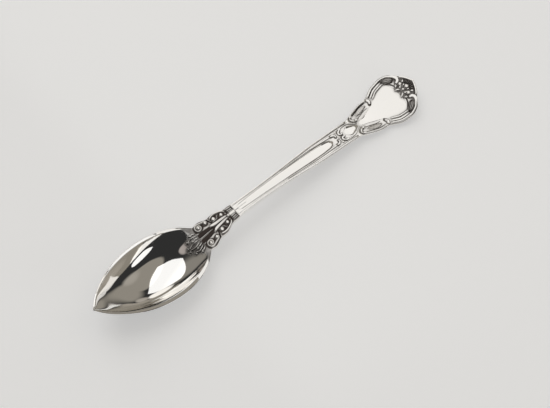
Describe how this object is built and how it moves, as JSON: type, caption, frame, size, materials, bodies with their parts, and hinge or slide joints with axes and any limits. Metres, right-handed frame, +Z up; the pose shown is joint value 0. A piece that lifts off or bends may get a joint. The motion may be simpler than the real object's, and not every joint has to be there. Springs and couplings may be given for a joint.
{
  "type": "grapefruit spoon",
  "caption": "Silver grapefruit spoon with a deep pointed bowl, a scrolled neck, a ribbed stem and a shield-shaped handle end with scroll borders and a flower crest.",
  "frame": {"origin": "on the table, under the middle of the spoon's length and width", "axes": "+X from the point of the bowl to the handle end, +Y to the spoon's left, +Z up out of the open bowl"},
  "size_m": [0.146, 0.026, 0.0139],
  "materials": {
    "silver": "polished silver with fine scratches",
    "struck_silver": "struck silver, darkened in its recesses"
  },
  "bodies": {
    "root": {"bowl": "silver", "bowl_leaf_spray": "struck_silver", "neck": "silver", "neck_ridge_left": "struck_silver", "neck_ridge_right": "struck_silver", "neck_bead": "struck_silver", "neck_lower_scroll_left": "struck_silver", "neck_lower_scroll_right": "struck_silver", "neck_upper_scroll_left": "struck_silver", "neck_upper_scroll_right": "struck_silver", "shoulder_husk_left": "struck_silver", "shoulder_husk_right": "struck_silver", "stem": "silver", "stem_tongue_panel": "silver", "stem_edge_rib_left": "silver", "stem_edge_rib_right": "silver", "tongue_frame_left": "silver", "tongue_frame_right": "silver", "knot_beads": "struck_silver", "oval_panel": "silver", "oval_frame_left": "silver", "oval_frame_right": "silver", "handle_head": "silver", "shield_panel": "silver", "side_scroll_left": "silver", "side_scroll_right": "silver", "side_leaf_left": "struck_silver", "side_leaf_right": "struck_silver", "head_border_left": "silver", "head_border_right": "silver", "head_moulding_left": "silver", "head_moulding_right": "silver", "shoulder_shell_left": "struck_silver", "shoulder_shell_right": "struck_silver", "crest_rim": "silver", "crest_fan": "struck_silver", "crest_flower": "struck_silver", "crest_leaf_left": "struck_silver", "crest_leaf_right": "struck_silver"}
  },
  "joints": []
}
